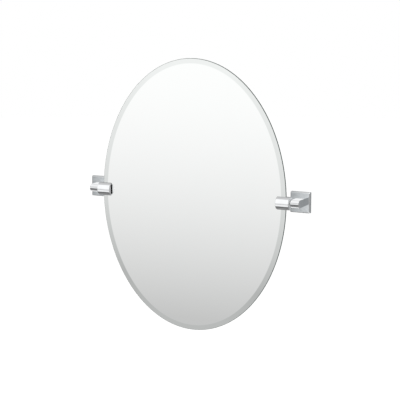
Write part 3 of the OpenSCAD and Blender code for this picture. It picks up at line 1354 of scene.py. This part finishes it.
@dataclass
class SquareCover:
    """The hollow square cover with chamfered front edges, and the bracket behind it."""

    side: Side
    wall: float = 0.002
    chamfer: float = 0.0023
    corner: float = 0.001
    soft: float = 0.00025
    screw_pitch: float = 0.011
    screw_hole: float = 0.0028
    grub_radius: float = 0.00205
    sink: float = 0.0004
    slant: tuple[float, float] = (0.2, 0.95)  # how much Y the normal of a slanting face has
    crease: tuple[float, float] = (20.0, 70.0)  # the angles between the chamfer and its neighbours

    def __post_init__(self) -> None:
        """Measures the cover."""
        self.span = Span.of(f"{self.side.word}_escutcheon", self.side)

    def cover(self) -> Shape:
        """Shapes the cover, hollows it from the wall and drills it.

        Returns:
            The shape.
        """
        span, wall = self.span, self.wall
        shape = Shape.block((span.inner, span.front, span.bottom), (span.outer, span.back, span.top))
        shape.soften(lambda e: on_plane(e, 1, span.front), self.chamfer, 1)
        shape.soften(self._is_corner, self.corner, 4)
        shape.soften(self._is_front_crease, self.soft, 2)
        hollow = Shape.block(
            (span.inner + wall, span.front + wall, span.bottom + wall),
            (span.outer - wall, span.back + PAST, span.top - wall),
        )
        hollow.soften(self._is_corner, self.corner, 4)
        shape.cut(hollow, *self._holes())
        return shape.paint(1, self._is_chamfer)

    def _is_chamfer(self, face: bmesh.types.BMFace) -> bool:
        """Says whether a face is part of the chamfer round the front.

        Args:
            face: The face.

        Returns:
            True if it is.
        """
        low, high = self.slant
        in_front = face.calc_center_median().y < self.span.front + self.chamfer
        return in_front and low < abs(face.normal.y) < high

    @staticmethod
    def _is_corner(edge: bmesh.types.BMEdge) -> bool:
        """Says whether an edge leads away from the wall: an upright corner or a mitre."""
        return abs(edge.verts[0].co.y - edge.verts[1].co.y) > WELD

    def _is_front_crease(self, edge: bmesh.types.BMEdge) -> bool:
        """Says whether an edge bounds the chamfer.

        Args:
            edge: The edge.

        Returns:
            True if it does.
        """
        ends = [point.co.y for point in edge.verts]
        flat = abs(ends[0] - ends[1]) < SLACK
        near = max(ends) < self.span.front + self.chamfer * 1.05
        least, most = (math.radians(angle) for angle in self.crease)
        return flat and near and least < crease_of(edge) < most

    def _holes(self) -> list[Shape]:
        """Makes the cutters of the two holes under the arm and of the grub screw's hole below.

        Returns:
            The cutters.
        """
        span = self.span
        under_arm = [
            Shape.drill(
                (span.mid_x + sign * self.screw_pitch / 2, span.front, 0.0),
                (0.0, 2 * self.wall, 0.0), self.screw_hole,
            )
            for sign in (-1, 1)
        ]
        grub = Shape.drill(
            (span.mid_x, span.mid_y, span.bottom), (0.0, 0.0, 2 * self.wall), self.grub_radius, self.sink
        )
        return [*under_arm, grub]

    def build(self) -> None:
        """Places the cover and dresses the bracket."""
        word = self.side.word
        cover = self.cover().facing(self.side)
        finishes = [finish.material() for finish in COVER_FINISHES[self.side]]
        cover.place(f"{word}_square_cover", Body.WALL, Slot.CHROME, finishes, f"{word}_escutcheon")
        dress(f"{word}_wall_bracket", ZINC)


def dress(node: str, finish: Finish) -> bpy.types.Object:
    """Gives a node of the frame its finish.

    Args:
        node: The node's name.
        finish: Its finish.

    Returns:
        The node's object.
    """
    piece = bpy.data.objects[node]
    mesh = piece.data
    mesh.materials.clear()
    mesh.materials.append(finish.material())
    LOG.info("%s keeps its solid and is dressed as %s", node, finish.name)
    return piece


# ---- Studio ----


@dataclass(frozen=True)
class Turn:
    """One change of brightness on the way round the pivot axis.

    The angle runs from -180 at the back, through -90 below, 0 at the front and 90 above.
    """

    angle: float
    blur: float
    level: float


@dataclass(frozen=True)
class Card:
    """A soft-edged card that hangs in one direction and is seen only in reflections."""

    toward: Point
    radius: float
    blur: float
    level: float


@dataclass(frozen=True)
class Lamp:
    """A soft square lamp that points at the mirror, with its power in watts."""

    name: str
    place: Point
    power: float
    size: float = 2.0


@dataclass(frozen=True)
class Studio:
    """Plain soft light, a pale floor, and what the chrome and the glass reflect.

    The turns, the cards and the fall of the light over the glass were set to give the chrome and
    the glass the bands of the photograph.
    """

    fill: float = 0.62
    back_level: float = 1.17
    turns: tuple[Turn, ...] = (
        Turn(-131, 3, 0.3),
        Turn(-84, 6, 0.16),
        Turn(-56, 4, 1.02),
        Turn(-21, 2, 1.0),
        Turn(2, 3, 1.17),
        Turn(74, 6, 0.7),
        Turn(111, 6, 0.57),
        Turn(146, 6, 0.2),
        Turn(170, 8, 1.17),
    )
    cards: tuple[Card, ...] = (
        Card((0.62, 0.77, -0.17), 44, 10, 0.38),
        Card((0.37, -0.91, -0.17), 4.5, 2, 0.52),
        Card((0.95, -0.31, -0.17), 8, 2, 0.34),
        Card((-0.86, 0.48, -0.16), 20, 12, 0.12),
    )
    fall_top: float = -5.4
    fall_span: float = 9.71
    fall_power: float = 1.8
    fall_depth: float = 0.442
    fall_end: tuple[float, float] = (-23.0, -19.0)
    floor_drop: float = 1.5
    floor_radius: float = 14.0
    floor_steps: int = 96
    floor_tint: Color = (0.86, 0.86, 0.855)
    floor_light_tint: Color = (0.88, 0.88, 0.88)
    floor_waves: float = 3.0
    floor_glow: float = 0.5
    lamps: tuple[Lamp, ...] = (
        Lamp("soft_key", (-1.6, -2.4, 2.6), 60.0),
        Lamp("soft_fill", (2.4, -1.8, 0.6), 18.0),
        Lamp("soft_back", (0.6, 2.6, 1.8), 25.0),
    )

    def reflected(self, graph: Graph) -> Value:
        """How bright each direction is in a reflection.

        Args:
            graph: The world's tree.

        Returns:
            The level, where 1 is white.
        """
        way = graph.node("ShaderNodeTexCoord", output="Generated")
        y, z = (graph.node("ShaderNodeSeparateXYZ", {}, {0: way}, output=axis) for axis in "YZ")
        angle = graph.node("ShaderNodeMath", {"operation": "ARCTAN2"}, {0: z, 1: -y}) * math.degrees(1.0)
        level: Number = self.back_level
        before = self.back_level
        for turn in self.turns:
            step = angle.smooth(turn.angle - turn.blur, turn.angle + turn.blur)
            level = level + step * (turn.level - before)
            before = turn.level
        fall = angle.ramp(self.fall_top, self.fall_top - self.fall_span) ** self.fall_power
        level = level * (1.0 - fall * angle.smooth(*self.fall_end) * self.fall_depth)
        for card in self.cards:
            toward = Vector(card.toward).normalized()
            near = graph.node(
                "ShaderNodeVectorMath", {"operation": "DOT_PRODUCT"}, {0: way, 1: toward}, output=1
            )
            edge = [math.cos(math.radians(card.radius + sign * card.blur)) for sign in (1, -1)]
            share = near.smooth(*edge)
            level = level * (1.0 - share) + share * card.level
        return level

    def sky(self) -> None:
        """Builds the world: white to the camera, plain to dull surfaces, a studio to shiny ones."""
        world = bpy.data.worlds.new("studio")
        bpy.context.scene.world = world
        world.use_nodes = True
        world.cycles.sampling_method = "NONE"
        graph = Graph(world.node_tree)
        glossy = graph.node("ShaderNodeLightPath", output="Is Glossy Ray")
        camera = graph.node("ShaderNodeLightPath", output="Is Camera Ray")
        level = glossy * self.reflected(graph) + (1.0 - glossy) * self.fill
        level = level * (1.0 - camera) + camera
        light = graph.node("ShaderNodeBackground", {}, {"Color": (1, 1, 1, 1), "Strength": level})
        graph.end("ShaderNodeOutputWorld", light)

    def floor(self) -> None:
        """Lays the pale floor, which clips to white and keeps the object's shadow."""
        shape = Shape()
        bmesh.ops.create_circle(
            shape.bm, cap_ends=True, segments=self.floor_steps, radius=self.floor_radius,
            matrix=Matrix.Translation((0, 0, -self.floor_drop)),
        )
        mesh = bpy.data.meshes.new("floor")
        shape.bm.to_mesh(mesh)
        shape.bm.free()
        material = bpy.data.materials.new("pale_floor")
        material.use_nodes = True
        graph = Graph(material.node_tree)
        grain = graph.noise(self.floor_waves, 5.0)
        camera = graph.node("ShaderNodeLightPath", output="Is Camera Ray")
        tone = graph.blend(grain, self.floor_tint, self.floor_light_tint)
        dull = graph.node("ShaderNodeBsdfDiffuse", {}, {"Color": tone})
        glow = graph.node(
            "ShaderNodeEmission", {}, {"Color": (1, 1, 1, 1), "Strength": camera * self.floor_glow}
        )
        both = graph.node("ShaderNodeAddShader", {}, {0: dull, 1: glow})
        clear = graph.node("ShaderNodeBsdfTransparent")
        below = graph.node("ShaderNodeNewGeometry", output="Backfacing")
        seen = graph.node("ShaderNodeMixShader", {}, {0: below, 1: both, 2: clear})
        graph.end("ShaderNodeOutputMaterial", seen)
        mesh.materials.append(material)
        floor = bpy.data.objects.new("floor", mesh)
        floor.visible_glossy = False
        bpy.context.scene.collection.objects.link(floor)

    def hang(self, lamp: Lamp) -> None:
        """Hangs a lamp.

        Args:
            lamp: The lamp.
        """
        data = bpy.data.lights.new(lamp.name, "AREA")
        data.size = lamp.size
        data.energy = lamp.power
        light = bpy.data.objects.new(lamp.name, data)
        light.location = lamp.place
        light.rotation_euler = (-Vector(lamp.place)).to_track_quat("-Z", "Y").to_euler()
        light.visible_glossy = False
        bpy.context.scene.collection.objects.link(light)

    def build(self) -> None:
        """Builds the world, the floor and the lamps."""
        self.sky()
        self.floor()
        for lamp in self.lamps:
            self.hang(lamp)


@dataclass(frozen=True)
class Viewpoint:
    """The photograph's viewpoint, solved from the oval's outline and the covers' edges."""

    azimuth: float = 25.73
    elevation: float = 9.54
    distance: float = 4.156
    aim_azimuth: float = -0.26
    aim_elevation: float = 0.14
    roll: float = 0.18
    focal_pixels: float = 1698.3
    frame_pixels: float = 400.0
    sensor: float = 36.0
    far: float = 100.0

    def build(self) -> None:
        """Places the camera."""
        data = bpy.data.cameras.new("camera")
        data.sensor_width = self.sensor
        data.lens = self.focal_pixels * self.sensor / self.frame_pixels
        data.clip_end = self.far
        camera = bpy.data.objects.new("camera", data)
        bpy.context.scene.collection.objects.link(camera)
        bpy.context.scene.camera = camera
        centre = Vector((0.0, Span.of("mirror_glass").front, 0.0))
        place = centre + self._away(self.azimuth, self.elevation) * self.distance
        back = self._away(self.azimuth + self.aim_azimuth, self.elevation + self.aim_elevation)
        right = Vector((0, 0, 1)).cross(back).normalized()
        up = back.cross(right)
        level = Matrix((right, up, back)).transposed()
        turned = level @ Matrix.Rotation(math.radians(self.roll), 3, "Z")
        camera.matrix_world = Matrix.Translation(place) @ turned.to_4x4()

    @staticmethod
    def _away(azimuth: float, elevation: float) -> Vector:
        """Finds the direction from the mirror towards an azimuth and an elevation.

        Args:
            azimuth: Degrees to the right of the front.
            elevation: Degrees above the floor.

        Returns:
            The direction, one metre long.
        """
        a, e = math.radians(azimuth), math.radians(elevation)
        return Vector((math.sin(a) * math.cos(e), -math.cos(a) * math.cos(e), math.sin(e)))


def main() -> None:
    """Builds the pieces, the studio and the camera."""
    logging.basicConfig(level=logging.INFO, format="%(name)s: %(message)s")
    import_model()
    OvalMirror().build()
    for side in Side:
        Clamp(side).build()
        Arm(side).build()
        SquareCover(side).build()
    for screws in ("arm_screws", "cover_grub_screws", "tension_screws", "clamp_screws"):
        dress(screws, SCREW).visible_glossy = False
    Studio().build()
    Viewpoint().build()
    bpy.context.scene.view_settings.view_transform = "Standard"


if __name__ == "__main__":
    main()
